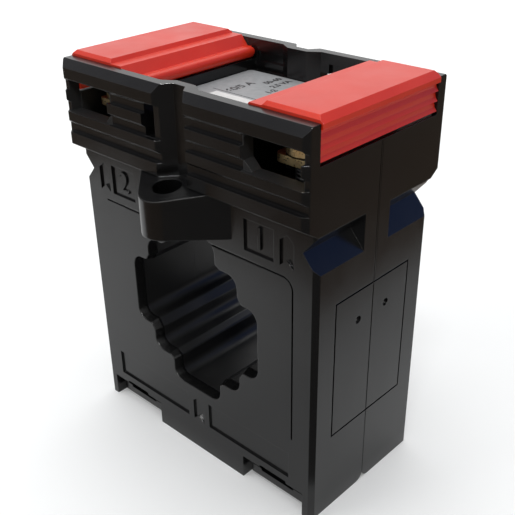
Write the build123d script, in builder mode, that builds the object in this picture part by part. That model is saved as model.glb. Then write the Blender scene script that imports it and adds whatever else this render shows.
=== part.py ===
from build123d import *

import os
from math import hypot, radians, sqrt, tan

# Plug-on current transformer with a stepped window, two wire clamps on each side
# and two red hinged covers over them.  X runs along the front face, -Y is the
# front and Z is up.  The origin is the middle of the footprint, level with the
# feet.  All sizes are in millimetres.

# Window for the busbar or the round conductor
flat_bar_w = 32.8
flat_bar_h = 14.0
square_bar_w = 23.2
square_bar_h = 24.6
upright_bar_w = 12.4
upright_bar_h = 34.6
conductor_d = 29.0
window_round = 2.0
window_blend = 0.6
lead_in_depth = 1.7
lead_in = 0.45
window_wall = 1.3

# Wound ring, from the window's wall outwards
winding_gap = 0.734
inner_turns = 1.0
cap_wall = 0.7
core_build = 3.6
core_depth = 22.8
outer_turns = 1.6
side_turns = 1.2
winding_open = 16.0
chamber_gap = 0.3
side_gap = 0.35
fit = 0.1

# Lower housing round the ring chamber
wall = 1.8
base_wall = 4.8
shoulder_drop = 1.7
body_corner = 0.9
foot_round = 1.9

# Upper block with its ribbed faces; drops are measured from its top
block_rise = 18.3
block_over = 2.95
block_corner = 0.95
top_chamfer_y = 1.2
top_chamfer_z = 1.5
skirt_rise = 2.0
skirt_edge = 2.3
rib_count = 3
rib_drop = 5.8
rib_face = 1.8
rib_slant = 0.7
groove_depth = 0.85
block_wall = 3.05
end_wall = 1.5
sill_drop = 6.6

# Throat over the clamping screw
throat_front = 3.9
throat_back = 1.5
throat_wall = 1.6

# Label deck, its side walls and the terminal pockets beside it
partition_in = 12.0
partition_wall = 1.6
deck_drop = 6.1
deck_wall = 1.5
pocket_rise = 2.8

# Wire entries and the slit beside the throat
entry_edge = 1.1
entry_w = 12.3
entry_h = 6.2
entry_drop = 3.7
entry_cut = 1.7
entry_cut_top = 0.8
slit_in = 4.6
slit_w = 2.5
slit_h = 6.0
slit_drop = 3.8

# Lug for the busbar clamping screw
lug_rise = 1.8
lug_h = 8.3
lug_half = 11.2
lug_round = 4.3
lug_angle = 10.0
lug_hole_d = 5.2
lug_hole_out = 4.05

# Corner notches and the middle pillar between them
notch_drop = 0.05
notch_h = 6.95
notch_in = 3.0
pillar = 3.4

# Recesses between the feet, each with its strip
recess_edge = 2.3
recess_w = 15.3
recess_h = 5.25
recess_set = 1.5
recess_rise = 0.5
rise_start = 4.5
rise_end = 11.2
slot_set = 4.0
strip_gap = 1.1
strip_low = 1.2
strip_high = 3.15
strip_dip = 2.7
dip_start = 3.6
dip_end = 11.85

# Shallow recesses inside the wall, and the step in the seam
shallow = 0.6
wide_recess_in = 4.5
wide_recess_w = 7.1
wide_recess_drop = 2.3
small_recess_in = 6.6
small_recess_w = 3.1
small_recess_drop = 2.0
shallow_h = 2.0
seam_step = 0.4
seam_step_rise = 13.0
seam_edge = 0.15

# Arch line, sunk fields and arrows of the front face
line_w = 0.35
line_deep = 0.3
arch_edge = 5.0
arch_open = 6.4
arch_drop = 9.3
arch_under = 16.2
arch_round = 2.3
field_deep = 0.4
field_drop = 1.5
field_h = 5.9
right_field_edge = 9.2
left_field_edge = 8.7
field_w = 6.7
low_field_z = 7.2
low_field_h = 5.8
low_field_in = 3.0
plate_field_edge = 5.7
arrow_w = 3.0
arrow_tip = 1.2
arrow_notch = 1.3
arrow_edge = 6.35

# Panel lines and pits of the ends
panel_edge = 5.25
panel_under = 15.8
panel_over = 12.2
pit_d = 1.5
pit_deep = 0.5
pit_y = 4.0
pit_rise = 6.3

# Red covers
cover_rise = 1.05
cover_over = 0.3
cover_wall = 1.5
cover_end_t = 1.7
cover_play = 0.1
cover_flat_w = 11.4
cover_strip_w = 3.2
cover_step = 0.75
cover_bevel = 1.1
cover_lip = 0.85
tooth_count = 3
tooth_gap = 0.3
tooth_deep = 0.6
tooth_lead = 0.15
bead_out = 1.0
bead_drop = 2.6
bead_r = 1.1
bead_gap = 0.1
bead_bevel = 0.5
pin_r = 0.7
pin_len = 0.9
pin_play = 0.06
edge_bevel = 0.6

# Leads
lead_r = 0.6
lead_x = 6.0
lead_rise = 1.4

# Terminals
screw_edge = 7.3
screw_in = 3.1
bar_gap = 2.95
bar_w = 9.2
bar_t = 1.4
bar_drop = 9.45
bar_round = 1.5
tag_t = 1.0
tag_w = 4.0
tag_rise = 1.5
clamp_open = 0.15
clamp_d = 7.0
clamp_t = 1.6
screw_d = 4.0
screw_play = 0.05
screw_rise = 1.9
head_d = 6.8
head_h = 2.3
drive_w = 0.9
drive_l = 5.0
drive_deep = 1.1
pedestal_y = 4.0
guide_len = 4.0
guide_t = 1.4

# Rating label
label_t = 0.3
label_gap_x = 0.2
label_gap_y = 0.25
label_round = 1.0

# The ring fits round the window, the chamber round the ring, and the housing
# round the chamber.
bars = ((flat_bar_w, flat_bar_h), (square_bar_w, square_bar_h), (upright_bar_w, upright_bar_h))
reaches = [hypot(w / 2 - window_round, h / 2 - window_round) + window_round for w, h in bars]
winding_in_r = max(*reaches, conductor_d / 2) + window_wall + winding_gap
cap_in_r = winding_in_r + inner_turns
core_in_r = cap_in_r + cap_wall + 2 * fit
core_out_r = core_in_r + core_build
cap_out_r = core_out_r + cap_wall + 2 * fit
winding_r = cap_out_r + outer_turns
chamber_r = winding_r + chamber_gap
core_half = core_depth / 2
cap_half = core_half + fit + cap_wall
wrap_half = cap_half + fit + side_turns
chamber_y = wrap_half + side_gap
half_width = chamber_r + wall
half_body = chamber_y + wall
half_block = half_body + block_over
window_z = base_wall + chamber_r
body_height = window_z + chamber_r - shoulder_drop

# Heights of the block and depths inside its walls
block_top = body_height + block_rise
skirt_top = body_height + skirt_rise
rib_first = block_top - rib_drop
rib_pitch = (rib_first - skirt_edge - skirt_top) / (rib_count - 1)
sill_z = block_top - sill_drop
deck_z = block_top - deck_drop
pocket_floor = body_height + pocket_rise
inner_y = half_block - block_wall
throat_y = half_body - throat_wall
pocket_in = partition_in + partition_wall
pocket_out = half_width - end_wall
slit_out = slit_in + slit_w
slit_z = block_top - slit_drop - slit_h
lug_high = body_height + lug_rise
lug_low = lug_high - lug_h
notch_high = body_height - notch_drop
notch_low = notch_high - notch_h
seam_step_z = window_z + seam_step_rise

# Covers between their hinge beads and the ends of the block
cover_half = inner_y - cover_play
cover_top = block_top + cover_rise
cover_face = half_width + cover_over
cover_inner = cover_face - cover_end_t
cover_flat_in = cover_face - cover_flat_w
cover_strip_in = cover_flat_in - cover_strip_w
cover_strip_top = cover_top - cover_step
tooth_root = half_width - tooth_deep
tooth_top = cover_top - cover_bevel - cover_lip - tooth_lead
tooth_pitch = (tooth_top - sill_z - tooth_gap) / tooth_count
bead_x = partition_in + bead_out
bead_z = block_top - bead_drop
partition_top = bead_z - bead_r - bead_gap

# Terminals along the pockets
bar_half = inner_y - bar_gap
screw_x = half_width - screw_edge
screw_y = bar_half - screw_in
bar_low = block_top - bar_drop
bar_high = bar_low + bar_t
bar_in = screw_x - bar_w / 2
bar_out = screw_x + bar_w / 2
tag_low = pocket_floor + tag_rise
screw_low = pocket_floor + screw_rise
lead_z = tag_low + lead_rise
lead_low = window_z + sqrt(winding_r**2 - (lead_x - lead_r) ** 2)
clamp_low = bar_high + clamp_open
clamp_high = clamp_low + clamp_t
front = Plane.XZ.offset(half_body)
ring_axis = Axis((0, 0, window_z), (0, 1, 0))
os.makedirs("parts", exist_ok=True)


def block(x_span, y_span, z_span, mode=Mode.ADD):
    """A cuboid over three spans, added to or cut from the open part."""
    spans = (x_span, y_span, z_span)
    with Locations(tuple(sum(span) / 2 for span in spans)):
        Box(*(abs(span[1] - span[0]) for span in spans), mode=mode)


def window_shape(grow):
    """The stepped window seen from the front, grown outwards by a given amount."""
    with BuildSketch() as shape:
        for width, height in bars:
            RectangleRounded(width + 2 * grow, height + 2 * grow, window_round + grow)
        Circle(conductor_d / 2 + grow)
        # growing the outline and shrinking it back rounds its inner corners
        offset(amount=window_blend, kind=Kind.ARC)
        offset(amount=-window_blend, kind=Kind.ARC)
    return shape.sketch


def ribbed_outline():
    """Side outline of the front half of the block, from its top edge to the housing."""
    face = -half_block
    points = [(0, block_top), (face + top_chamfer_y, block_top), (face, block_top - top_chamfer_z)]
    for n in range(rib_count):
        shelf = rib_first - n * rib_pitch
        above = shelf + rib_pitch - rib_face
        points += [
            (face, above),
            (face + groove_depth, above - rib_slant),
            (face + groove_depth, shelf),
            (face, shelf),
        ]
    points += [(face, skirt_top), (-half_body, body_height), (0, body_height)]
    return points


def entry_shape(side):
    """One wire entry seen from the front, its inner corners cut, the lower one more."""
    middle_x = half_width - entry_edge - entry_w / 2
    with BuildSketch() as shape:
        with Locations((side * middle_x, block_top - entry_drop - entry_h / 2)):
            Rectangle(entry_w, entry_h)
        for corner, cut in ((0, entry_cut), (-1, entry_cut_top)):
            inner = shape.vertices().group_by(Axis.X)[0 if side > 0 else -1]
            chamfer(inner.sort_by(Axis.Y)[corner], cut)
    return shape.sketch


def field(x_from, x_to, low, height):
    """A plain field, added to the open sketch of a face."""
    with Locations(((x_from + x_to) / 2, low + height / 2)):
        Rectangle(abs(x_to - x_from), height)


def arrow(middle, low, height):
    """A broad arrow that points up, with a notched tail."""
    with BuildSketch() as shape:
        with BuildLine():
            Polyline(
                (middle - arrow_w / 2, low),
                (middle, low + arrow_notch),
                (middle + arrow_w / 2, low),
                (middle + arrow_w / 2, low + height - arrow_tip),
                (middle, low + height),
                (middle - arrow_w / 2, low + height - arrow_tip),
                close=True,
            )
        make_face()
    return shape.sketch


def ring(outer_r, inner_r, y_near, y_far):
    """Section of a ring round the window, drawn above the window's axis."""
    with BuildSketch() as section:
        with Locations(((y_near + y_far) / 2, window_z + (outer_r + inner_r) / 2)):
            Rectangle(abs(y_far - y_near), outer_r - inner_r)
    return section.sketch


with BuildPart() as front_shell:
    # lower housing half, then the ribbed half of the block above it
    with BuildSketch(Plane.YZ) as side_view:
        with Locations((-half_body / 2, body_height / 2)):
            Rectangle(half_body, body_height)
        fillet(side_view.vertices().group_by(Axis.Y)[0].sort_by(Axis.Z)[0], foot_round)
    extrude(amount=half_width, both=True)
    chamfer(front_shell.edges().filter_by(Axis.Z).group_by(Axis.Y)[0], body_corner)
    with BuildSketch(Plane.YZ):
        with BuildLine():
            Polyline(ribbed_outline(), close=True)
        make_face()
    extrude(amount=half_width, both=True)

    # chamfered block corners, and the throat down to the housing's own face
    with BuildSketch(Plane.XY.offset(body_height)):
        for side in (-1, 1):
            with BuildLine():
                Polyline(
                    (side * (half_width - block_corner), -half_block),
                    (side * half_width, -half_block + block_corner),
                    (side * half_width, -half_block),
                    close=True,
                )
            make_face()
        with BuildLine():
            Polyline(
                (-throat_front, -half_block),
                (-throat_back, -half_body),
                (throat_back, -half_body),
                (throat_front, -half_block),
                close=True,
            )
        make_face()
    extrude(amount=block_top - body_height, mode=Mode.SUBTRACT)

    # tapered lug with a rounded nose and a top that falls towards it
    lug_nose = -half_body - lug_half
    lug_run = lug_half - (half_block - half_body)
    with BuildSketch(Plane.XY.offset(lug_low)) as lug:
        with BuildLine():
            Polyline((-lug_half, -half_body), (0, lug_nose), (lug_half, -half_body), close=True)
        make_face()
        fillet(lug.vertices().sort_by(Axis.Y)[0], lug_round)
    extrude(amount=lug_high - lug_low)
    with BuildSketch(Plane.YZ):
        with BuildLine():
            Polyline(
                (-half_block, lug_high),
                (lug_nose, lug_high - lug_run * tan(radians(lug_angle))),
                (lug_nose, lug_high),
                close=True,
            )
        make_face()
    extrude(amount=lug_half, both=True, mode=Mode.SUBTRACT)
    with BuildSketch(Plane.XY.offset(lug_low)):
        with Locations((0, -half_body - lug_hole_out)):
            Circle(lug_hole_d / 2)
    extrude(amount=lug_high - lug_low, mode=Mode.SUBTRACT)

    # terminal pockets, the well for the covers and the label, and the closed hollow
    depth = (-inner_y, 0)
    for side in (-1, 1):
        pocket = (side * pocket_in, side * pocket_out)
        block(pocket, depth, (pocket_floor, block_top), Mode.SUBTRACT)
        block((side * pocket_in, side * half_width), depth, (sill_z, block_top), Mode.SUBTRACT)
        block((0, side * pocket_in), depth, (partition_top, block_top), Mode.SUBTRACT)
        block((0, side * partition_in), depth, (deck_z, block_top), Mode.SUBTRACT)
    hollow = partition_in - deck_wall
    hollow_low = window_z + chamber_r + deck_wall
    block((-hollow, hollow), (-throat_y, 0), (hollow_low, deck_z - deck_wall), Mode.SUBTRACT)

    # the front wall goes round the back of the throat
    with BuildSketch(Plane.XY.offset(deck_z)):
        with BuildLine():
            Polyline(
                (-throat_front - throat_wall / 2, -inner_y),
                (-throat_back - throat_wall / 2, -throat_y),
                (throat_back + throat_wall / 2, -throat_y),
                (throat_front + throat_wall / 2, -inner_y),
                close=True,
            )
        make_face()
    extrude(amount=block_top - deck_z)

    # wire entries and the slit beside the throat
    with BuildSketch(Plane.XZ.offset(inner_y)):
        for side in (-1, 1):
            add(entry_shape(side))
        field(-slit_in, -slit_out, slit_z, slit_h)
    extrude(amount=block_wall, mode=Mode.SUBTRACT)

    # seat, stop and guide of each terminal bar, on the pocket floor
    for side in (-1, 1):
        seat = (side * (bar_in + tag_t + fit), side * bar_out)
        stop = (side * (bar_out + fit), side * pocket_out)
        guide = (side * (bar_in - fit - guide_t), side * (bar_in - fit))
        block(seat, (-pedestal_y, 0), (pocket_floor, bar_low))
        block(stop, (-pedestal_y, 0), (pocket_floor, bar_high))
        block(guide, (-pedestal_y - guide_len, -pedestal_y), (pocket_floor, bar_high))

    # blind sockets for the cover pins
    for side in (-1, 1):
        with BuildSketch(Plane.XZ.offset(inner_y)):
            with Locations((side * bead_x, bead_z)):
                Circle(pin_r + pin_play)
        extrude(amount=pin_len + fit, mode=Mode.SUBTRACT)

    # ring chamber round the walled window, then the window with its flared lip
    with BuildSketch(Plane.XZ):
        with Locations((0, window_z)):
            Circle(chamber_r)
            add(window_shape(window_wall), mode=Mode.SUBTRACT)
    extrude(amount=chamber_y, mode=Mode.SUBTRACT)
    with BuildSketch(Plane.XZ):
        with Locations((0, window_z)):
            add(window_shape(0))
    extrude(amount=half_body, mode=Mode.SUBTRACT)
    with BuildSketch(front.offset(-lead_in_depth)):
        with Locations((0, window_z)):
            add(window_shape(0))
    with BuildSketch(front):
        with Locations((0, window_z)):
            add(window_shape(lead_in))
    loft(mode=Mode.SUBTRACT)

    # half-round grooves that let the leads through to the pockets
    with BuildSketch(Plane.XY.offset(window_z)):
        with Locations((-lead_x, 0), (lead_x, 0)):
            Circle(lead_r + fit)
    extrude(amount=hollow_low - window_z, mode=Mode.SUBTRACT)
    with BuildSketch(Plane.YZ):
        with Locations((0, lead_z)):
            Circle(lead_r + fit)
    extrude(amount=pocket_in, both=True, mode=Mode.SUBTRACT)

    # corner notches, up to the middle pillar
    with BuildSketch(Plane.XZ.offset(pillar)):
        for side in (-1, 1):
            with BuildLine():
                Polyline(
                    (side * half_width, notch_low),
                    (side * (half_width - notch_in), (notch_low + notch_high) / 2),
                    (side * half_width, notch_high),
                    close=True,
                )
            make_face()
    extrude(amount=half_block, mode=Mode.SUBTRACT)

    # the rib left out beside the slit, and shallow recesses inside the wall
    bare = (-slit_out, -throat_front + groove_depth)
    block(bare, (-half_block, -half_block + groove_depth), (slit_z, slit_z + slit_h), Mode.SUBTRACT)
    for x_from, width, drop in (
        (wide_recess_in, wide_recess_w, wide_recess_drop),
        (-small_recess_in, -small_recess_w, small_recess_drop),
    ):
        across = (x_from, x_from + width)
        upward = (block_top - drop - shallow_h, block_top - drop)
        block(across, (-inner_y - shallow, -inner_y), upward, Mode.SUBTRACT)

    # recesses between the feet, each with a dipped strip that is open all round
    for left in (recess_edge - half_width, half_width - recess_edge - recess_w):
        right = left + recess_w
        block((left, right), (-half_body, -half_body + recess_set), (0, recess_h), Mode.SUBTRACT)
        with BuildSketch(front):
            with BuildLine():
                Polyline(
                    (left, 0),
                    (right, 0),
                    (right, strip_low),
                    (left + strip_gap, strip_low),
                    (left + strip_gap, strip_high),
                    (left + dip_start, strip_high),
                    (left + dip_start, strip_dip),
                    (left + dip_end, strip_dip),
                    (left + dip_end, strip_high),
                    (right, strip_high),
                    (right, recess_h),
                    (left + rise_end, recess_h),
                    (left + rise_end, recess_h + recess_rise),
                    (left + rise_start, recess_h + recess_rise),
                    (left + rise_start, recess_h),
                    (left, recess_h),
                    close=True,
                )
            make_face()
        extrude(amount=-slot_set, mode=Mode.SUBTRACT)

    # seam: a small edge along both ends, and a step that locks the halves
    for side in (-1, 1):
        with BuildSketch(Plane.XY):
            with BuildLine():
                Polyline(
                    (side * (half_width - seam_edge), 0),
                    (side * half_width, -seam_edge),
                    (side * half_width, 0),
                    close=True,
                )
            make_face()
        extrude(amount=sill_z, mode=Mode.SUBTRACT)
    block((-half_width, -pocket_out), (-seam_step, 0), (seam_step_z, sill_z), Mode.SUBTRACT)
    block((pocket_out, half_width), (0, seam_step - fit), (seam_step_z + fit, sill_z))

    # arch line over the window, then the sunk fields and arrows round it
    with BuildSketch(front):
        with BuildLine():
            arch_top = body_height - arch_drop
            arch_right = half_width - arch_edge
            FilletPolyline(
                (arch_open - half_width, arch_top),
                (arch_right, arch_top),
                (arch_right, window_z - arch_under),
                radius=arch_round,
            )
        trace(line_width=line_w)
    extrude(amount=-line_deep, mode=Mode.SUBTRACT)
    with BuildSketch(front):
        field_z = body_height - field_drop - field_h
        field_right = half_width - right_field_edge
        field_left = left_field_edge - half_width
        field(field_right - field_w, field_right, field_z, field_h)
        field(field_left, field_left + field_w, field_z, field_h)
        field(arch_edge - half_width, -low_field_in, low_field_z, low_field_h)
        field(low_field_in, half_width - plate_field_edge, low_field_z, low_field_h)
        for side in (-1, 1):
            add(arrow(side * (half_width - arrow_edge), field_z, field_h))
        add(arrow(0, low_field_z, low_field_h))
    extrude(amount=-field_deep, mode=Mode.SUBTRACT)

    # panel outline and moulding pit on each end
    for plane in (Plane.YZ.offset(half_width), Plane.YZ.offset(-half_width)):
        inward = -1 if plane.origin.X > 0 else 1
        with BuildSketch(plane):
            with BuildLine():
                Polyline(
                    (0, window_z - panel_under),
                    (panel_edge - half_body, window_z - panel_under),
                    (panel_edge - half_body, window_z + panel_over),
                    (0, window_z + panel_over),
                )
            trace(line_width=line_w)
        extrude(amount=inward * line_deep, mode=Mode.SUBTRACT)
        with BuildSketch(plane):
            with Locations((-pit_y, window_z + pit_rise)):
                Circle(pit_d / 2)
        extrude(amount=inward * pit_deep, mode=Mode.SUBTRACT)

front_shell.part.label = "front_shell"
export_step(front_shell.part, "parts/front_shell.step")

with BuildPart() as rear_shell:
    # the rear half is the front half turned half a turn about the upright axis
    add(front_shell.part, rotation=(0, 0, 180))

rear_shell.part.label = "rear_shell"
export_step(rear_shell.part, "parts/rear_shell.step")

with BuildPart() as right_cover:
    # bent cover plate with its rounded hinge bead and a toothed end
    teeth = []
    for n in range(tooth_count):
        level = tooth_top - n * tooth_pitch
        teeth += [
            (tooth_root + tooth_lead, level - tooth_pitch * 0.4),
            (half_width, level - tooth_pitch * 0.8),
            (tooth_root, level - tooth_pitch),
        ]
    with BuildSketch(Plane.XZ.offset(-cover_half)):
        with BuildLine():
            Polyline(
                (bead_x, bead_z + bead_r * 0.9),
                (bead_x + bead_r, bead_z + bead_r * 0.9),
                (cover_strip_in, cover_strip_top),
                (cover_flat_in - cover_step * 0.8, cover_strip_top),
                (cover_flat_in, cover_top),
                (cover_face - cover_bevel, cover_top),
                (cover_face, cover_top - cover_bevel),
                (cover_face, cover_top - cover_bevel - cover_lip),
                (tooth_root, tooth_top),
                *teeth,
                (cover_inner, tooth_top - tooth_count * tooth_pitch),
                (cover_inner, cover_top - cover_wall),
                (cover_flat_in - cover_wall / 2, cover_top - cover_wall),
                (cover_flat_in - cover_wall, cover_strip_top - cover_wall),
                (cover_strip_in + cover_wall / 4, cover_strip_top - cover_wall),
                (bead_x + bead_r * 0.9, bead_z - bead_r * 0.3),
                (bead_x, bead_z - bead_r * 0.3),
                close=True,
            )
        make_face()
    extrude(amount=2 * cover_half)

    # bead with bevelled ends, and the pins it turns on
    with BuildSketch(Plane.XY.offset(bead_z)) as bead:
        with Locations((bead_x + bead_r / 2, 0)):
            Rectangle(bead_r, 2 * cover_half)
        chamfer(bead.vertices().group_by(Axis.X)[-1], bead_bevel)
    revolve(axis=Axis((bead_x, 0, bead_z), (0, 1, 0)))
    with Locations((bead_x, 0, bead_z)):
        Cylinder(pin_r, 2 * (cover_half + pin_len), rotation=(90, 0, 0))

    # bevels along the two ends of the top
    tops = right_cover.edges().filter_by(Axis.X).group_by(Axis.Z)[-1]
    chamfer(tops, edge_bevel)

right_cover.part.label = "right_cover"
export_step(right_cover.part, "parts/right_cover.step")

with BuildPart() as left_cover:
    # the left cover is the right one's mirror image
    add(mirror(right_cover.part, about=Plane.YZ))

left_cover.part.label = "left_cover"
export_step(left_cover.part, "parts/left_cover.step")

with BuildPart() as core:
    # ring core round the window
    with BuildSketch(Plane.YZ):
        add(ring(core_out_r, core_in_r, -core_half, core_half))
    revolve(axis=ring_axis)

core.part.label = "core"
export_step(core.part, "parts/core.step")

with BuildPart() as core_cap_front:
    # U-section insulating cap over the front half of the core
    with BuildSketch(Plane.YZ):
        add(ring(core_out_r + fit + cap_wall, core_in_r - fit - cap_wall, -cap_half, 0))
        add(ring(core_out_r + fit, core_in_r - fit, -core_half - fit, 0), mode=Mode.SUBTRACT)
    revolve(axis=ring_axis)

core_cap_front.part.label = "core_cap_front"
export_step(core_cap_front.part, "parts/core_cap_front.step")

with BuildPart() as core_cap_rear:
    # the same cap turned round, over the rear half
    add(mirror(core_cap_front.part, about=Plane.XZ))

core_cap_rear.part.label = "core_cap_rear"
export_step(core_cap_rear.part, "parts/core_cap_rear.step")

with BuildPart() as winding:
    # secondary winding wrapped round both caps, open at the top for its leads
    with BuildSketch(Plane.YZ):
        add(ring(winding_r, winding_in_r, -wrap_half, wrap_half))
        add(ring(cap_out_r, cap_in_r, -cap_half - fit, cap_half + fit), mode=Mode.SUBTRACT)
    revolve(axis=ring_axis)
    with BuildSketch(Plane.XZ.offset(-wrap_half)):
        with BuildLine():
            Polyline(
                (0, window_z),
                (half_width * tan(radians(winding_open / 2)), window_z + half_width),
                (-half_width * tan(radians(winding_open / 2)), window_z + half_width),
                close=True,
            )
        make_face()
    extrude(amount=2 * wrap_half, mode=Mode.SUBTRACT)

winding.part.label = "winding"
export_step(winding.part, "parts/winding.step")

with BuildPart() as lead_right:
    # round wire from the winding's outer turns up and out to the bar's tag
    with BuildLine(Plane.XZ) as lead_path:
        Polyline((lead_x, lead_low), (lead_x, lead_z), (bar_in, lead_z))
    with BuildSketch(Plane.XY.offset(lead_low)):
        with Locations((lead_x, 0)):
            Circle(lead_r)
    sweep(path=lead_path.line, transition=Transition.RIGHT)

lead_right.part.label = "lead_right"
export_step(lead_right.part, "parts/lead_right.step")

with BuildPart() as lead_left:
    add(mirror(lead_right.part, about=Plane.YZ))

lead_left.part.label = "lead_left"
export_step(lead_left.part, "parts/lead_left.step")

with BuildPart() as terminal_bar_right:
    # flat bar along the pocket, with two screw holes and a tag bent down to the lead
    block((bar_in, bar_out), (-bar_half, bar_half), (bar_low, bar_high))
    fillet(terminal_bar_right.edges().filter_by(Axis.Z), bar_round)
    with Locations((screw_x, -screw_y, bar_high), (screw_x, screw_y, bar_high)):
        Hole(screw_d / 2 + screw_play)
    block((bar_in, bar_in + tag_t), (-tag_w / 2, tag_w / 2), (tag_low, bar_low))

terminal_bar_right.part.label = "terminal_bar_right"
export_step(terminal_bar_right.part, "parts/terminal_bar_right.step")

with BuildPart() as terminal_bar_left:
    add(mirror(terminal_bar_right.part, about=Plane.YZ))

terminal_bar_left.part.label = "terminal_bar_left"
export_step(terminal_bar_left.part, "parts/terminal_bar_left.step")

# four wire clamps, each a thick round plate carried under the head of its screw
for side, side_name in ((-1, "left"), (1, "right")):
    for end, end_name in ((-1, "front"), (1, "rear")):
        place = Plane((side * screw_x, end * screw_y, 0))

        with BuildPart() as clamp_plate:
            with BuildSketch(place.offset(clamp_low)):
                Circle(clamp_d / 2)
                Circle(screw_d / 2 + screw_play, mode=Mode.SUBTRACT)
            extrude(amount=clamp_t)

        clamp_plate.part.label = f"clamp_plate_{side_name}_{end_name}"
        export_step(clamp_plate.part, f"parts/{clamp_plate.part.label}.step")

        with BuildPart() as clamp_screw:
            with BuildSketch(place.offset(screw_low)):
                Circle(screw_d / 2)
            extrude(amount=clamp_high - screw_low)
            with BuildSketch(place.offset(clamp_high)):
                Circle(head_d / 2)
            extrude(amount=head_h)
            with BuildSketch(place.offset(clamp_high + head_h)):
                Rectangle(drive_l, drive_w)
                Rectangle(drive_w, drive_l)
            extrude(amount=-drive_deep, mode=Mode.SUBTRACT)

        clamp_screw.part.label = f"clamp_screw_{side_name}_{end_name}"
        export_step(clamp_screw.part, f"parts/{clamp_screw.part.label}.step")

with BuildPart() as label_plate:
    # thin rating label on the deck between the covers
    with BuildSketch(Plane.XY.offset(deck_z)):
        RectangleRounded(
            2 * (partition_in - label_gap_x), 2 * (throat_y - label_gap_y), label_round
        )
    extrude(amount=label_t)

label_plate.part.label = "label_plate"
export_step(label_plate.part, "parts/label_plate.step")
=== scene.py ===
import math

import bmesh
import bpy
from mathutils import Matrix, Vector


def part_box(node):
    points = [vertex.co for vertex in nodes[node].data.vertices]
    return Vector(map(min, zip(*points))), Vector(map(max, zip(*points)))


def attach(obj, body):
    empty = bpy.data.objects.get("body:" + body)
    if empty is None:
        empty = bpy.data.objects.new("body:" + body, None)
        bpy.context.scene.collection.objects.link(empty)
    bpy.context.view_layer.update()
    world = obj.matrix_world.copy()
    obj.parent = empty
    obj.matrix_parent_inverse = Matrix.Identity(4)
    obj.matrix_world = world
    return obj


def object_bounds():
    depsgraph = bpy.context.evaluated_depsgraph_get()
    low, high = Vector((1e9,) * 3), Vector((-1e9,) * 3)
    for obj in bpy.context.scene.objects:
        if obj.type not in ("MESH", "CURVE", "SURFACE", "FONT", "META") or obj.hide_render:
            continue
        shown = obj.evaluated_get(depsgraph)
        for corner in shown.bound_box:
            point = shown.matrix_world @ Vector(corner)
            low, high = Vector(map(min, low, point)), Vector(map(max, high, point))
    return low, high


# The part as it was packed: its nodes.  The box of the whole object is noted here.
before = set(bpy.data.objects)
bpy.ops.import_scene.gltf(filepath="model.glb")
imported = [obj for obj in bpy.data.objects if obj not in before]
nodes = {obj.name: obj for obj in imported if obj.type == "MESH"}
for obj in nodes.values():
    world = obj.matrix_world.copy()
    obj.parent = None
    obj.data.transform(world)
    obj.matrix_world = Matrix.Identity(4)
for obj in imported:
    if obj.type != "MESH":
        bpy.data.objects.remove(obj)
cad_box = [list(corner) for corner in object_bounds()]
MM = 0.001

# Housing shells.
# Two alike halves, injection moulded in black glass-filled plastic.  The mould
# leaves a faint grain and soft flow marks, and the edges catch the light.


def new_material(name, roughness=0.5, metallic=0.0):
    """A named node material and its shader, ready for its colour and relief."""
    material = bpy.data.materials.new(name)
    material.use_nodes = True
    shader = material.node_tree.nodes["Principled BSDF"]
    shader.inputs["Roughness"].default_value = roughness
    shader.inputs["Metallic"].default_value = metallic
    return material, shader


def noise(material, scale, detail, stretch=None):
    """Noise on the piece's own coordinates, per metre, drawn out where stretch is given."""
    tree = material.node_tree
    place = tree.nodes.new("ShaderNodeTexCoord").outputs["Object"]
    if stretch:
        mapping = tree.nodes.new("ShaderNodeMapping")
        mapping.inputs["Scale"].default_value = stretch
        tree.links.new(place, mapping.inputs["Vector"])
        place = mapping.outputs["Vector"]
    texture = tree.nodes.new("ShaderNodeTexNoise")
    texture.inputs["Scale"].default_value = scale
    texture.inputs["Detail"].default_value = detail
    tree.links.new(place, texture.inputs["Vector"])
    return texture.outputs["Fac"]


def ramp(material, value, stops):
    """A colour ramp over a value; each stop is a place and a colour."""
    node = material.node_tree.nodes.new("ShaderNodeValToRGB")
    material.node_tree.links.new(value, node.inputs["Fac"])
    elements = node.color_ramp.elements
    while len(elements) < len(stops):
        elements.new(0.5)
    for element, (place, colour) in zip(elements, stops):
        element.position = place
        element.color = (*colour, 1.0)
    return node.outputs["Color"]


def tint(material, shader, value, stops):
    """The piece's colour, from a ramp over a value."""
    material.node_tree.links.new(ramp(material, value, stops), shader.inputs["Base Color"])


def span(material, value, low, high, to_low, to_high):
    """A value mapped from one range to another."""
    node = material.node_tree.nodes.new("ShaderNodeMapRange")
    for socket, number in zip(("From Min", "From Max", "To Min", "To Max"),
                              (low, high, to_low, to_high)):
        node.inputs[socket].default_value = number
    material.node_tree.links.new(value, node.inputs["Value"])
    return node.outputs["Result"]


def patchy(material, texture, low, high):
    """A noise texture mapped so that its usual range runs between two numbers."""
    usual_low, usual_high = 0.3, 0.7
    return span(material, texture, usual_low, usual_high, low, high)


def relief(material, shader, height, depth, strength, edge=None):
    """Bump of a real depth in metres, over softly rounded edges where edge is given."""
    tree = material.node_tree
    bump = tree.nodes.new("ShaderNodeBump")
    bump.inputs["Strength"].default_value = strength
    bump.inputs["Distance"].default_value = depth
    tree.links.new(height, bump.inputs["Height"])
    if edge is not None:
        rounding = tree.nodes.new("ShaderNodeBevel")
        rounding.samples = 6
        if isinstance(edge, float):
            rounding.inputs["Radius"].default_value = edge
        else:
            tree.links.new(edge, rounding.inputs["Radius"])
        tree.links.new(rounding.outputs["Normal"], bump.inputs["Normal"])
    tree.links.new(bump.outputs["Normal"], shader.inputs["Normal"])


def dress(name, material):
    """Gives a CAD node its finish."""
    mesh = nodes[name].data
    if mesh.materials:
        for place in range(len(mesh.materials)):
            mesh.materials[place] = material
    else:
        mesh.materials.append(material)


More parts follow.
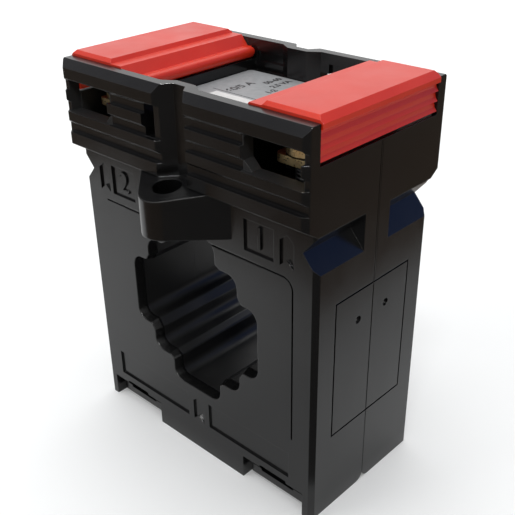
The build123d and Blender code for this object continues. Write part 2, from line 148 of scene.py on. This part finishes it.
def axis_value(material, axis):
    """The piece's own X, Y or Z, in metres."""
    tree = material.node_tree
    place = tree.nodes.new("ShaderNodeTexCoord")
    parts = tree.nodes.new("ShaderNodeSeparateXYZ")
    tree.links.new(place.outputs["Object"], parts.inputs["Vector"])
    return parts.outputs[axis]


def maths(material, operation, first, second=None):
    """One arithmetic step on two values or numbers."""
    node = material.node_tree.nodes.new("ShaderNodeMath")
    node.operation = operation
    for socket, value in zip(node.inputs, (first, second)):
        if value is None:
            continue
        if isinstance(value, (int, float)):
            socket.default_value = value
        else:
            material.node_tree.links.new(value, socket)
    return node.outputs["Value"]


def between(material, value, low, high):
    """1 where a value lies between two numbers, 0 elsewhere."""
    above = maths(material, "GREATER_THAN", value, low)
    return maths(material, "MULTIPLY", above, maths(material, "LESS_THAN", value, high))


shell_plastic, shader = new_material("moulded_black_plastic")
shader.inputs["IOR"].default_value = 1.46
tint(shell_plastic, shader, noise(shell_plastic, scale=45, detail=4.0),
     [(0.3, (0.0032, 0.0032, 0.0033)), (0.75, (0.005, 0.005, 0.0052))])

off_middle = maths(shell_plastic, "ABSOLUTE", axis_value(shell_plastic, "X"))
off_seam = maths(shell_plastic, "ABSOLUTE", axis_value(shell_plastic, "Y"))
height = axis_value(shell_plastic, "Z")
block_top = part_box("front_shell")[1].z


def within(from_middle, from_seam, below_top):
    """1 between these distances from the middle, the seam and the block's top, in mm."""
    low, high = (block_top - drop * MM for drop in reversed(below_top))
    across = between(shell_plastic, off_middle, from_middle[0] * MM, from_middle[1] * MM)
    along = between(shell_plastic, off_seam, from_seam[0] * MM, from_seam[1] * MM)
    flat = maths(shell_plastic, "MULTIPLY", across, along)
    return maths(shell_plastic, "MULTIPLY", flat, between(shell_plastic, height, low, high))


# the mould is left matt inside the pockets, through the wire entries and on the
# window's walls
in_pocket = within(from_middle=(14.0, 29.4), from_seam=(-1.0, 17.6), below_top=(0.3, 12.5))
in_entry = within(from_middle=(16.4, 29.0), from_seam=(15.0, 18.55), below_top=(3.6, 10.0))
in_block = maths(shell_plastic, "MAXIMUM", in_pocket, in_entry)
in_window = within(from_middle=(-1.0, 17.2), from_seam=(-1.0, 13.6), below_top=(27.0, 62.5))
block_matt = 0.35
window_matt = 0.2
haze = patchy(shell_plastic, noise(shell_plastic, scale=130, detail=5.0), low=0.17, high=0.25)
for place, matt in ((in_block, block_matt), (in_window, window_matt)):
    haze = maths(shell_plastic, "ADD", haze, maths(shell_plastic, "MULTIPLY", place, matt))
shell_plastic.node_tree.links.new(haze, shader.inputs["Roughness"])

# the lug, the one form that reaches past the block, and the window's lip have
# softer edges than the housing
block_reach = 18.7 * MM
crisp_radius = 0.09 * MM
soft_radius = 0.3 * MM
on_lug = maths(shell_plastic, "GREATER_THAN", off_seam, block_reach)
on_lip = within(from_middle=(-1.0, 18.2), from_seam=(13.9, 15.8), below_top=(27.0, 62.8))
soft_edge = maths(shell_plastic, "MAXIMUM", on_lug, on_lip)
edge_radius = span(shell_plastic, soft_edge, 0.0, 1.0, crisp_radius, soft_radius)
relief(shell_plastic, shader, noise(shell_plastic, scale=3200, detail=2.0),
       depth=0.012 * MM, strength=0.35, edge=edge_radius)
for shell in ("front_shell", "rear_shell"):
    dress(shell, shell_plastic)

# Terminal numbers.
# Plain figures raised from the floors of the two upper fields, moulded with each
# shell.  The same bar serves both ends of a pocket, so its number is the same too.


def figures(text, size, thickness, weight=0.0):
    """Plain figures as a flat mesh, lying face up with their foot on the X axis."""
    letters = bpy.data.curves.new("figures", "FONT")
    letters.body = text
    letters.size = size
    letters.extrude = thickness / 2
    letters.offset = weight
    outline = bpy.data.objects.new("figures", letters)
    mesh = bpy.data.meshes.new_from_object(outline)
    bpy.data.objects.remove(outline)
    bpy.data.curves.remove(letters)
    return mesh


def new_piece(name, mesh, body, material):
    """A finished mesh as a piece of the object that rides on a body."""
    mesh.name = name
    mesh.materials.clear()
    mesh.materials.append(material)
    piece = bpy.data.objects.new(name, mesh)
    bpy.context.scene.collection.objects.link(piece)
    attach(piece, body)


number_size = 6.0 * MM
number_thick = 0.7 * MM
number_foot = 53.2 * MM
field_floor = 15.25 * MM
for digit, name, middle, end in (
    ("1", "front_right", 17.5, 1),
    ("2", "front_left", -18.0, 1),
    ("1", "rear_right", 18.0, -1),
    ("2", "rear_left", -17.5, -1),
):
    number = figures(digit, number_size, number_thick)
    across = [corner.co.x for corner in number.vertices]
    number.transform(Matrix.Translation((-(min(across) + max(across)) / 2, 0, 0)))
    number.transform(Matrix.Rotation(math.pi / 2, 4, "X"))
    number.transform(Matrix.Translation((end * middle * MM, -field_floor, number_foot)))
    if end < 0:
        number.transform(Matrix.Rotation(math.pi, 4, "Z"))
    new_piece("terminal_number_" + name, number, "housing", shell_plastic)

# Terminal covers.
# Each is one moulding in red plastic with a bead that turns on two stub pins,
# a flat top for a thumb and a ribbed end to grip.
cover_plastic, shader = new_material("moulded_red_plastic")
shader.inputs["IOR"].default_value = 1.5
tint(cover_plastic, shader, noise(cover_plastic, scale=60, detail=4.0),
     [(0.3, (0.6, 0.024, 0.006)), (0.75, (0.69, 0.031, 0.009))])
haze = patchy(cover_plastic, noise(cover_plastic, scale=160, detail=5.0), low=0.28, high=0.38)
cover_plastic.node_tree.links.new(haze, shader.inputs["Roughness"])
relief(cover_plastic, shader, noise(cover_plastic, scale=3600, detail=2.0),
       depth=0.012 * MM, strength=0.6, edge=0.1 * MM)
for cover in ("left_cover", "right_cover"):
    dress(cover, cover_plastic)

# Terminal bars and clamp plates.
# The bars are stamped from brass strip, with a rolling grain along them and a thin
# uneven tarnish.  The screws pull thick round plates of the same brass down on them.
brass, shader = new_material("stamped_brass", metallic=1.0)
# painted shade: the plate's lower edge is darkened where it meets the bar, for the shadow in
# the gap between them
plate_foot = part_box("clamp_plate_left_front")[0].z
gap_shade_low = plate_foot - 0.05 * MM
gap_shade_high = plate_foot + 0.3 * MM
in_gap_shade = between(brass, axis_value(brass, "Z"), gap_shade_low, gap_shade_high)
clear = maths(brass, "SUBTRACT", 1.0, in_gap_shade)
tint(brass, shader, maths(brass, "MULTIPLY", noise(brass, scale=260, detail=4.0), clear),
     [(0.1, (0.05, 0.035, 0.02)), (0.3, (0.66, 0.48, 0.22)), (0.7, (0.86, 0.68, 0.38))])
grain = noise(brass, scale=2600, detail=4.0, stretch=(1.0, 0.06, 1.0))
brass.node_tree.links.new(patchy(brass, grain, low=0.22, high=0.42), shader.inputs["Roughness"])
relief(brass, shader, grain, depth=0.02 * MM, strength=0.5, edge=0.12 * MM)
for piece in ("terminal_bar_left", "terminal_bar_right"):
    dress(piece, brass)

clamp_names = [side + "_" + end for side in ("left", "right") for end in ("front", "rear")]
for clamp in clamp_names:
    dress("clamp_plate_" + clamp, brass)

# Clamp screws.
# Zinc plated steel, M4, with a coarse matt plating on the head and a rolled
# thread down the shank, darkened below the plate as painted shade.
thread_pitch = 0.7 * MM
shank_painted_shade = 0.3
zinc, shader = new_material("zinc_plated_steel", roughness=0.34, metallic=1.0)
height = axis_value(zinc, "Z")
thread = maths(zinc, "SINE", maths(zinc, "MULTIPLY", height, 2 * math.pi / thread_pitch))
# painted shade: below the plate the shank's colour is darkened, for the shade in its thread and
# under the plate
on_shank = maths(zinc, "LESS_THAN", height, plate_foot)
tone = span(zinc, on_shank, 0.0, 1.0, 1.0, shank_painted_shade)
tint(zinc, shader, maths(zinc, "MULTIPLY", noise(zinc, scale=700, detail=4.0), tone),
     [(0.1, (0.06, 0.06, 0.06)), (0.3, (0.42, 0.43, 0.43)), (0.7, (0.62, 0.62, 0.6))])
relief(zinc, shader, maths(zinc, "MULTIPLY", thread, on_shank),
       depth=0.18 * MM, strength=0.9, edge=0.1 * MM)
for clamp in clamp_names:
    dress("clamp_screw_" + clamp, zinc)

# Rating label.
# A thin silver-grey foil label on the deck between the covers, with a white field,
# a rule and plain ratings printed in black.
label_foil, shader = new_material("silver_label", roughness=0.42)
tint(label_foil, shader, noise(label_foil, scale=900, detail=3.0),
     [(0.35, (0.27, 0.28, 0.29)), (0.7, (0.32, 0.33, 0.34))])
relief(label_foil, shader, noise(label_foil, scale=5000, detail=2.0),
       depth=0.004 * MM, strength=0.5)
dress("label_plate", label_foil)

print_thick = 0.02 * MM
print_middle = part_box("label_plate")[1].z + print_thick / 2


def printed_bar(ink, x_span, y_span):
    """A flat bar of ink on the label, its spans in millimetres."""
    wide, deep = (x_span[1] - x_span[0]) * MM, (y_span[1] - y_span[0]) * MM
    middle = Vector((sum(x_span) / 2 * MM, sum(y_span) / 2 * MM, print_middle))
    size = Matrix.Diagonal((wide, deep, print_thick, 1.0))
    bmesh.ops.create_cube(ink, size=1.0, matrix=Matrix.Translation(middle) @ size)


def mesh_of(name, shape):
    """A finished bmesh as a named mesh."""
    mesh = bpy.data.meshes.new(name)
    shape.to_mesh(mesh)
    shape.free()
    return mesh


white_ink, shader = new_material("white_ink", roughness=0.5)
tint(white_ink, shader, noise(white_ink, scale=1200, detail=3.0),
     [(0.3, (0.62, 0.62, 0.62)), (0.7, (0.72, 0.72, 0.71))])
white_print = bmesh.new()
printed_bar(white_print, x_span=(-6.8, 11.0), y_span=(-8.6, -0.6))
white_mesh = mesh_of("label_white_field", white_print)
new_piece("label_white_field", white_mesh, "housing", white_ink)

black_ink, shader = new_material("black_ink", roughness=0.5)
tint(black_ink, shader, noise(black_ink, scale=2500, detail=4.0),
     [(0.35, (0.01, 0.01, 0.011)), (0.75, (0.03, 0.03, 0.033))])
letter_weight = 0.07 * MM
black_print = bmesh.new()
printed_bar(black_print, x_span=(-8.6, 11.0), y_span=(0.1, 0.25))
for text, size, foot, start in (
    ("60/5 A", 2.5, -4.5, 0.6),
    ("50-60", 1.9, -2.4, 8.4),
    ("2.5 VA", 1.9, 0.2, 7.4),
    ("1-2", 1.9, 1.9, 4.2),
):
    words = figures(text, size * MM, print_thick, letter_weight)
    words.transform(Matrix.Rotation(math.pi / 2, 4, "Z"))
    words.transform(Matrix.Translation((foot * MM, start * MM, print_middle)))
    black_print.from_mesh(words)
    bpy.data.meshes.remove(words)
black_mesh = mesh_of("label_print", black_print)
new_piece("label_print", black_mesh, "housing", black_ink)

# Winding, core and its caps.
# The steel strip core sits in two U-section caps of natural plastic, and the
# enamelled copper turns are wound round both.
window_z = 33.0 * MM


def from_window_axis(material):
    """How far a point lies to the side of the window's axis and over it, in metres."""
    upward = maths(material, "SUBTRACT", axis_value(material, "Z"), window_z)
    return axis_value(material, "X"), upward


def distance(material, first, second):
    """The length of two distances at right angles, taken together."""
    squares = maths(material, "ADD", maths(material, "MULTIPLY", first, first),
                    maths(material, "MULTIPLY", second, second))
    return maths(material, "SQRT", squares)


turn_count = 210
copper, shader = new_material("enamelled_copper_turns", roughness=0.3)
across, upward = from_window_axis(copper)
ring_angle = maths(copper, "ARCTAN2", upward, across)
turns = maths(copper, "SINE", maths(copper, "MULTIPLY", ring_angle, turn_count))
# painted shade: each turn's colour darkens towards the groove between it and the next
tint(copper, shader, span(copper, turns, -1, 1, 0, 1),
     [(0.0, (0.12, 0.03, 0.012)), (0.6, (0.42, 0.13, 0.045))])
shader.inputs["Coat Weight"].default_value = 0.4
shader.inputs["Coat Roughness"].default_value = 0.15
relief(copper, shader, turns, depth=0.2 * MM, strength=0.9)
dress("winding", copper)

strip_thick = 0.3 * MM
core_steel, shader = new_material("wound_steel_strip", roughness=0.38, metallic=1.0)
ring_radius = distance(core_steel, *from_window_axis(core_steel))
layer_turn = maths(core_steel, "MULTIPLY", ring_radius, 2 * math.pi / strip_thick)
tint(core_steel, shader, noise(core_steel, scale=300, detail=3.0),
     [(0.3, (0.26, 0.27, 0.28)), (0.7, (0.4, 0.41, 0.43))])
relief(core_steel, shader, maths(core_steel, "SINE", layer_turn), depth=0.05 * MM, strength=0.8)
dress("core", core_steel)

cap_plastic, shader = new_material("natural_cap_plastic", roughness=0.5)
tint(cap_plastic, shader, noise(cap_plastic, scale=120, detail=4.0),
     [(0.3, (0.6, 0.56, 0.46)), (0.7, (0.7, 0.66, 0.56))])
relief(cap_plastic, shader, noise(cap_plastic, scale=2500, detail=2.0),
       depth=0.015 * MM, strength=0.5, edge=0.1 * MM)
for cap in ("core_cap_front", "core_cap_rear"):
    dress(cap, cap_plastic)

# Leads.
# Bare tinned ends of the winding's wire, soldered to the tags of the bars.
tinned, shader = new_material("tinned_copper", roughness=0.32, metallic=1.0)
tint(tinned, shader, noise(tinned, scale=1500, detail=3.0),
     [(0.3, (0.5, 0.3, 0.17)), (0.7, (0.6, 0.52, 0.46))])
relief(tinned, shader, noise(tinned, scale=4000, detail=2.0), depth=0.01 * MM, strength=0.6)
for lead in ("lead_left", "lead_right"):
    dress(lead, tinned)

# Paper floor.
# White paper that the object stands on and that keeps its shadow.  To a camera or a
# mirror it glows a little, and more so far from the lamps, so that it stays white.


def seen_directly(tree):
    """1 where a ray comes straight from the camera, a mirror or glass."""
    path = tree.nodes.new("ShaderNodeLightPath")
    first = tree.nodes.new("ShaderNodeMath")
    first.operation = "MAXIMUM"
    both = tree.nodes.new("ShaderNodeMath")
    both.operation = "MAXIMUM"
    tree.links.new(path.outputs["Is Camera Ray"], first.inputs[0])
    tree.links.new(path.outputs["Is Glossy Ray"], first.inputs[1])
    tree.links.new(first.outputs["Value"], both.inputs[0])
    tree.links.new(path.outputs["Is Transmission Ray"], both.inputs[1])
    return both.outputs["Value"]


def flat_sheet(half_side, squares=1):
    """A flat square sheet round the origin, cut into a few squares each way."""
    sheet = bmesh.new()
    bmesh.ops.create_grid(sheet, x_segments=squares, y_segments=squares, size=half_side)
    return sheet


floor_half = 3.0
under_feet = -0.02 * MM
near_lamps, far_off = 0.12, 0.9
near_glow, far_glow = 0.14, 0.68
paper_white, shader = new_material("white_paper", roughness=0.9)
shader.inputs["Base Color"].default_value = (0.85, 0.86, 0.865, 1.0)
shader.inputs["Emission Color"].default_value = (1.0, 1.0, 1.0, 1.0)
tree = paper_white.node_tree
from_object = distance(paper_white, axis_value(paper_white, "X"), axis_value(paper_white, "Y"))
glow_there = span(paper_white, from_object, near_lamps, far_off, near_glow, far_glow)
glow = maths(paper_white, "MULTIPLY", seen_directly(tree), glow_there)
tree.links.new(glow, shader.inputs["Emission Strength"])
floor_mesh = mesh_of("paper_floor", flat_sheet(floor_half))
floor_mesh.materials.append(paper_white)
floor = bpy.data.objects.new("paper_floor", floor_mesh)
floor.location.z = under_feet
bpy.context.scene.collection.objects.link(floor)

# Room in the reflections.
# The paper lies on a dark table, in painted shade, with a blue cloth, a grey wall and
# two small bright windows round it, all glowing sheets that show only where the object
# mirrors them, as painted reflections.


def mirrored_only(name, mesh, material):
    """A stage piece that shows in reflections alone."""
    mesh.materials.append(material)
    piece = bpy.data.objects.new(name, mesh)
    piece.visible_camera = False
    piece.visible_diffuse = False
    piece.visible_shadow = False
    piece.visible_transmission = False
    bpy.context.scene.collection.objects.link(piece)
    return piece


def plain_glow(name, colour, brightness=1.0):
    """A black material with an even glow of its own."""
    material, shader = new_material(name, roughness=1.0)
    shader.inputs["Base Color"].default_value = (0.0, 0.0, 0.0, 1.0)
    shader.inputs["Emission Color"].default_value = (*colour, 1.0)
    shader.inputs["Emission Strength"].default_value = brightness
    return material


# the paper's left and right edges, its front and back edges, and how it lies askew
paper_edges = ((-0.15, 0.075), (-0.078, 0.092))
paper_slant = 0.17
table_half = 1.5
middle_half = table_half / 3


def lay_to_paper(sheet):
    """Brings the corners of a sheet's middle square to the paper's edges, askew with it."""
    for corner in sheet.verts:
        for axis, (near, far) in enumerate(paper_edges):
            if abs(corner.co[axis]) < 2 * middle_half:
                corner.co[axis] = far if corner.co[axis] > 0 else near
        corner.co.y += paper_slant * corner.co.x


table = flat_sheet(table_half, squares=3)
middle = [face for face in table.faces if face.calc_center_median().length < middle_half]
bmesh.ops.delete(table, geom=middle, context="FACES_ONLY")
lay_to_paper(table)
dark_brown = plain_glow("dark_table", (0.125, 0.08, 0.045))
mirrored_only("dark_table", mesh_of("dark_table", table), dark_brown)

# painted shade: a film seen only in reflections darkens the paper towards the right,
# but not close by the object's foot; each tone is given at its X
shade_tones = ((-0.08, 0.9), (0.0, 0.7), (0.037, 0.84), (0.068, 0.58))
foot_width = cad_box[1][0]
foot_depth = 15.6 * MM
fade_out = 10.0 * MM
shade = flat_sheet(middle_half)
lay_to_paper(shade)
shade_film, solid = new_material("paper_shade")
tree = shade_film.node_tree
tree.nodes.remove(solid)
film = tree.nodes.new("ShaderNodeBsdfTransparent")
left_edge, right_edge = paper_edges[0]
x_place = axis_value(shade_film, "X")
y_place = axis_value(shade_film, "Y")
along_paper = span(shade_film, x_place, left_edge, right_edge, 0.0, 1.0)
paper_width = right_edge - left_edge
stops = [((x - left_edge) / paper_width, (tone, tone, tone)) for x, tone in shade_tones]
beside_end = maths(shade_film, "SUBTRACT", maths(shade_film, "ABSOLUTE", x_place), foot_width)
beside_front = maths(shade_film, "SUBTRACT", maths(shade_film, "ABSOLUTE", y_place), foot_depth)
beside_foot = maths(shade_film, "MAXIMUM", beside_end, beside_front)
at_foot = span(shade_film, beside_foot, 0.0, fade_out, 1.0, 0.0)
tone = maths(shade_film, "MAXIMUM", ramp(shade_film, along_paper, stops), at_foot)
tree.links.new(tone, film.inputs["Color"])
tree.links.new(film.outputs["BSDF"], tree.nodes["Material Output"].inputs["Surface"])
mirrored_only("paper_shade", mesh_of("paper_shade", shade), shade_film)

# painted shade: a long patch of deeper shade, seen only in reflections, lies on the table in
# front on the right
patch_width = 0.07
patch_length = 0.4
patch = flat_sheet(half_side=0.5)
bmesh.ops.scale(patch, vec=(patch_width, patch_length, 1.0), verts=patch.verts)
deep_shade = plain_glow("shaded_patch", (0.06, 0.055, 0.05))
shaded_patch = mirrored_only("shaded_patch", mesh_of("shaded_patch", patch), deep_shade)
shaded_patch.location = (0.17, -0.17, 0.1 * MM)
shaded_patch.rotation_euler.z = math.radians(45)


def hung_sheet(name, half_side, place, colour, brightness=1.0):
    """A square sheet that hangs in the room and faces the object."""
    glow = plain_glow(name, colour, brightness)
    piece = mirrored_only(name, mesh_of(name, flat_sheet(half_side)), glow)
    aim = Vector(place) - Vector((0.0, 0.0, 0.05))
    piece.location = place
    piece.rotation_euler = aim.to_track_quat("Z", "Y").to_euler()


hung_sheet("blue_cloth", half_side=0.28, place=(0.34, 0.374, 0.375), colour=(0.09, 0.16, 0.42))
hung_sheet("grey_wall", half_side=0.3, place=(-0.45, -0.38, 0.42), colour=(0.33, 0.33, 0.36))
# painted highlights: the two windows are small bright sheets, seen only in reflections, that
# put glints on edges
hung_sheet("right_window", half_side=0.04, place=(0.505, -0.404, 0.667),
           colour=(1.0, 1.0, 1.0), brightness=400.0)
hung_sheet("left_window", half_side=0.03, place=(-0.37, -0.46, 0.74),
           colour=(1.0, 1.0, 1.0), brightness=25.0)

# Lamps.
# A broad lamp hangs overhead, a weaker one stands in front on the left and a small
# one by the ceiling picks out the edges, in a white room with an even light.
room_level = 0.4
backdrop_level = 1.0
world = bpy.data.worlds.new("studio")
world.use_nodes = True
bpy.context.scene.world = world
tree = world.node_tree
backdrop = tree.nodes["Background"]
backdrop.inputs["Color"].default_value = (1.0, 1.0, 1.0, 1.0)
level = tree.nodes.new("ShaderNodeMapRange")
level.inputs["To Min"].default_value = room_level
level.inputs["To Max"].default_value = backdrop_level
tree.links.new(seen_directly(tree), level.inputs["Value"])
tree.links.new(level.outputs["Result"], backdrop.inputs["Strength"])


def soft_lamp(name, place, size, power):
    """A square soft lamp aimed at the object."""
    light = bpy.data.lights.new(name, "AREA")
    light.size = size
    light.energy = power
    lamp = bpy.data.objects.new(name, light)
    lamp.location = place
    aim = Vector((0.0, 0.0, 0.04)) - Vector(place)
    lamp.rotation_euler = aim.to_track_quat("-Z", "Y").to_euler()
    bpy.context.scene.collection.objects.link(lamp)


soft_lamp("overhead_lamp", place=(-0.12, 0.1, 1.0), size=0.8, power=6.4)
soft_lamp("ceiling_lamp", place=(0.22, -0.39, 0.84), size=0.1, power=0.8)
soft_lamp("front_lamp", place=(-0.5, -0.7, 0.45), size=0.5, power=2.2)

# Camera.
# Set where the photograph was taken from, above the object and off its right
# corner, with the frame's slight roll and shift.
azimuth = math.radians(44.66)
elevation = math.radians(28.70)
roll = math.radians(-1.45)
camera_place = Vector((99.3, -102.2, 116.3)) * MM
ahead = Vector((
    -math.sin(azimuth) * math.cos(elevation),
    math.cos(azimuth) * math.cos(elevation),
    -math.sin(elevation),
))
lens = bpy.data.cameras.new("camera")
lens.sensor_width = 36.0
lens.lens = 56.77
lens.shift_x = 0.0282
lens.shift_y = 0.0076
lens.clip_start = 0.01
camera = bpy.data.objects.new("camera", lens)
turned = ahead.to_track_quat("-Z", "Y").to_matrix() @ Matrix.Rotation(roll, 3, "Z")
camera.matrix_world = Matrix.Translation(camera_place) @ turned.to_4x4()
bpy.context.scene.collection.objects.link(camera)
bpy.context.scene.camera = camera
bpy.context.scene.view_settings.view_transform = "Standard"
